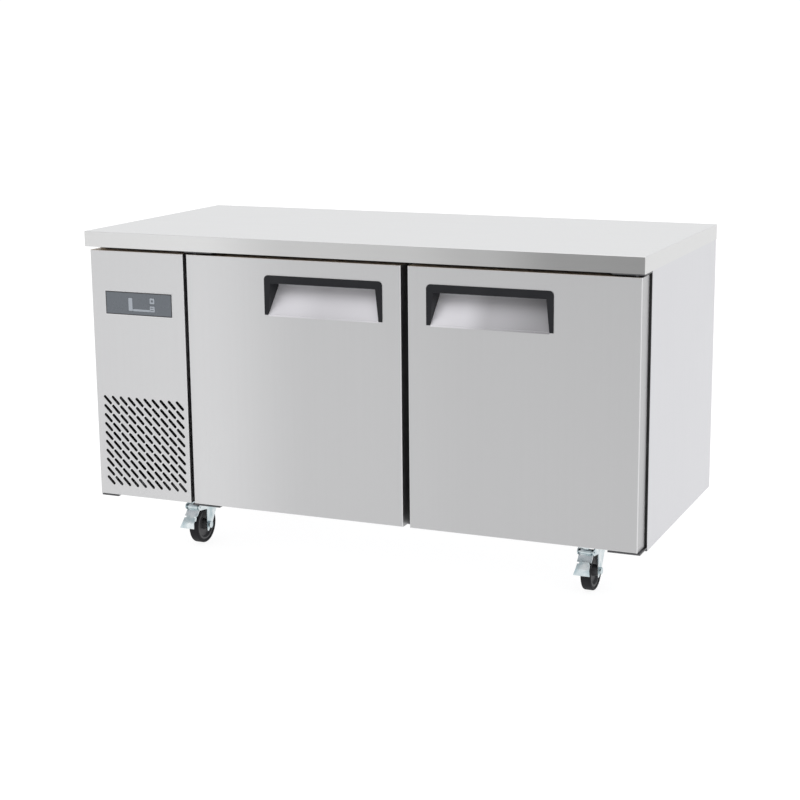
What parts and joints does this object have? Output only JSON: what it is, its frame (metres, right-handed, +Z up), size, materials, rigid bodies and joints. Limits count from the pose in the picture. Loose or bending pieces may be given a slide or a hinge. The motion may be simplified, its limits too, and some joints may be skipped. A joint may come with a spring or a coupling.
{
  "type": "undercounter refrigerator",
  "caption": "Low stainless refrigerated counter with hinged doors, a slotted machine-side panel, recessed pull handles and swivel casters.",
  "frame": {"origin": "on the floor under the middle of the worktop, doors closed", "axes": "+X to the right as seen from the front, the doors face -Y, +Z up"},
  "size_m": [1.5, 0.7, 0.85],
  "materials": {
    "worktop": "brushed",
    "worktop_core": "board",
    "cabinet_steel": "brushed",
    "liner_steel": "satin",
    "frame_black": "matte",
    "foam": "foam",
    "galvanised": "galvanised",
    "controller_plastic": "matte",
    "display_window": "gloss",
    "key_plastic": "satin",
    "compressor_black": "semi-gloss",
    "coil": "mill",
    "condenser_black": "matte",
    "copper": "drawn copper",
    "motor": "satin",
    "fan_blade": "mill",
    "evaporator_blade": "matte",
    "tray_plastic": "matte",
    "pilaster_steel": "satin",
    "shelf_coating": "plastic coated",
    "hinge_steel": "satin",
    "zinc": "bright zinc",
    "wheel_core": "moulded",
    "tyre": "rubber",
    "screw_steel": "plain",
    "door_steel": "brushed",
    "door_liner": "satin",
    "gasket": "matte",
    "bezel_plastic": "fine texture",
    "scoop_steel": "brushed"
  },
  "bodies": {
    "cabinet": {"worktop": "worktop", "worktop_core": "worktop_core", "cabinet_shell": "cabinet_steel", "front_frame": "frame_black", "cabinet_liner": "liner_steel", "cabinet_insulation": "foam", "mullion": "frame_black", "machine_front_panel": "door_steel", "machine_back_panel": "galvanised", "machine_base": "galvanised", "display_window": "display_window", "controller_housing": "controller_plastic", "condenser_coil": "condenser_black", "condenser_fan_shroud": "galvanised", "condenser_fan_motor": "motor", "compressor": "compressor_black", "refrigerant_lines": "copper", "condensate_tray": "tray_plastic", "evaporator_cover": "liner_steel", "evaporator_coil": "coil", "evaporator_fan_motor": "motor", "drain_tray": "tray_plastic", "shelf_pilasters": "pilaster_steel", "shelf_clips": "pilaster_steel", "front_brackets": "hinge_steel", "caster_plates": "zinc", "screws": "screw_steel"},
    "key_set": {"key_set": "key_plastic"},
    "key_up": {"key_up": "key_plastic"},
    "key_down": {"key_down": "key_plastic"},
    "condenser_fan_blade": {"condenser_fan_blade": "fan_blade"},
    "evaporator_fan_blade": {"evaporator_fan_blade": "evaporator_blade"},
    "shelf_left": {"shelf_left": "shelf_coating"},
    "shelf_right": {"shelf_right": "shelf_coating"},
    "door_left": {"door_left_skin": "door_steel", "door_left_core": "foam", "door_left_liner": "door_liner", "door_left_gasket": "gasket", "door_left_handle_bezel": "bezel_plastic", "door_left_handle_scoop": "scoop_steel"},
    "door_right": {"door_right_skin": "door_steel", "door_right_core": "foam", "door_right_liner": "door_liner", "door_right_gasket": "gasket", "door_right_handle_bezel": "bezel_plastic", "door_right_handle_scoop": "scoop_steel"},
    "caster_front_left_fork": {"caster_front_left_fork": "zinc"},
    "caster_front_left_wheel": {"caster_front_left_wheel": "wheel_core", "caster_front_left_tyre": "tyre"},
    "caster_front_left_pedal": {"caster_front_left_pedal": "zinc"},
    "caster_front_right_fork": {"caster_front_right_fork": "zinc"},
    "caster_front_right_wheel": {"caster_front_right_wheel": "wheel_core", "caster_front_right_tyre": "tyre"},
    "caster_front_right_pedal": {"caster_front_right_pedal": "zinc"},
    "caster_rear_left_fork": {"caster_rear_left_fork": "zinc"},
    "caster_rear_left_wheel": {"caster_rear_left_wheel": "wheel_core", "caster_rear_left_tyre": "tyre"},
    "caster_rear_right_fork": {"caster_rear_right_fork": "zinc"},
    "caster_rear_right_wheel": {"caster_rear_right_wheel": "wheel_core", "caster_rear_right_tyre": "tyre"}
  },
  "joints": [
    {"name": "door_left_hinge", "type": "hinge", "parent": "cabinet", "child": "door_left", "pos_m": [-0.434, -0.328, 0.147], "axis": [0, 0, -1], "range_deg": [0, 105]},
    {"name": "door_right_hinge", "type": "hinge", "parent": "cabinet", "child": "door_right", "pos_m": [0.725, -0.328, 0.147], "axis": [0, 0, 1], "range_deg": [0, 105]},
    {"name": "caster_front_left_swivel", "type": "hinge", "parent": "cabinet", "child": "caster_front_left_fork", "pos_m": [-0.508, -0.176, 0.12], "axis": [0, 0, 1], "continuous": true},
    {"name": "caster_front_left_spin", "type": "hinge", "parent": "caster_front_left_fork", "child": "caster_front_left_wheel", "pos_m": [-0.508, -0.213, 0.05], "axis": [1, 0, 0], "continuous": true},
    {"name": "caster_front_left_brake", "type": "hinge", "parent": "caster_front_left_fork", "child": "caster_front_left_pedal", "pos_m": [-0.508, -0.256, 0.108], "axis": [1, 0, 0], "range_deg": [0, 5]},
    {"name": "caster_front_right_swivel", "type": "hinge", "parent": "cabinet", "child": "caster_front_right_fork", "pos_m": [0.59, -0.176, 0.12], "axis": [0, 0, 1], "continuous": true},
    {"name": "caster_front_right_spin", "type": "hinge", "parent": "caster_front_right_fork", "child": "caster_front_right_wheel", "pos_m": [0.59, -0.213, 0.05], "axis": [1, 0, 0], "continuous": true},
    {"name": "caster_front_right_brake", "type": "hinge", "parent": "caster_front_right_fork", "child": "caster_front_right_pedal", "pos_m": [0.59, -0.256, 0.108], "axis": [1, 0, 0], "range_deg": [0, 5]},
    {"name": "caster_rear_left_swivel", "type": "hinge", "parent": "cabinet", "child": "caster_rear_left_fork", "pos_m": [-0.508, 0.235, 0.12], "axis": [0, 0, 1], "continuous": true},
    {"name": "caster_rear_left_spin", "type": "hinge", "parent": "caster_rear_left_fork", "child": "caster_rear_left_wheel", "pos_m": [-0.508, 0.198, 0.05], "axis": [1, 0, 0], "continuous": true},
    {"name": "caster_rear_right_swivel", "type": "hinge", "parent": "cabinet", "child": "caster_rear_right_fork", "pos_m": [0.59, 0.235, 0.12], "axis": [0, 0, 1], "continuous": true},
    {"name": "caster_rear_right_spin", "type": "hinge", "parent": "caster_rear_right_fork", "child": "caster_rear_right_wheel", "pos_m": [0.59, 0.198, 0.05], "axis": [1, 0, 0], "continuous": true},
    {"name": "key_set_press", "type": "slide", "parent": "cabinet", "child": "key_set", "axis": [0, 1, 0], "range_m": [0, 0.0006], "stiffness_N_per_m": 400},
    {"name": "key_up_press", "type": "slide", "parent": "cabinet", "child": "key_up", "axis": [0, 1, 0], "range_m": [0, 0.0006], "stiffness_N_per_m": 400},
    {"name": "key_down_press", "type": "slide", "parent": "cabinet", "child": "key_down", "axis": [0, 1, 0], "range_m": [0, 0.0006], "stiffness_N_per_m": 400},
    {"name": "condenser_fan_spin", "type": "hinge", "parent": "cabinet", "child": "condenser_fan_blade", "pos_m": [-0.6, -0.178, 0.295], "axis": [0, 1, 0], "continuous": true},
    {"name": "evaporator_fan_spin", "type": "hinge", "parent": "cabinet", "child": "evaporator_fan_blade", "pos_m": [-0.345, -0.11, 0.48], "axis": [1, 0, 0], "continuous": true},
    {"name": "shelf_left_lift", "type": "slide", "parent": "cabinet", "child": "shelf_left", "axis": [0, 0, 1], "range_m": [0, 0.025]},
    {"name": "shelf_right_lift", "type": "slide", "parent": "cabinet", "child": "shelf_right", "axis": [0, 0, 1], "range_m": [0, 0.025]}
  ]
}
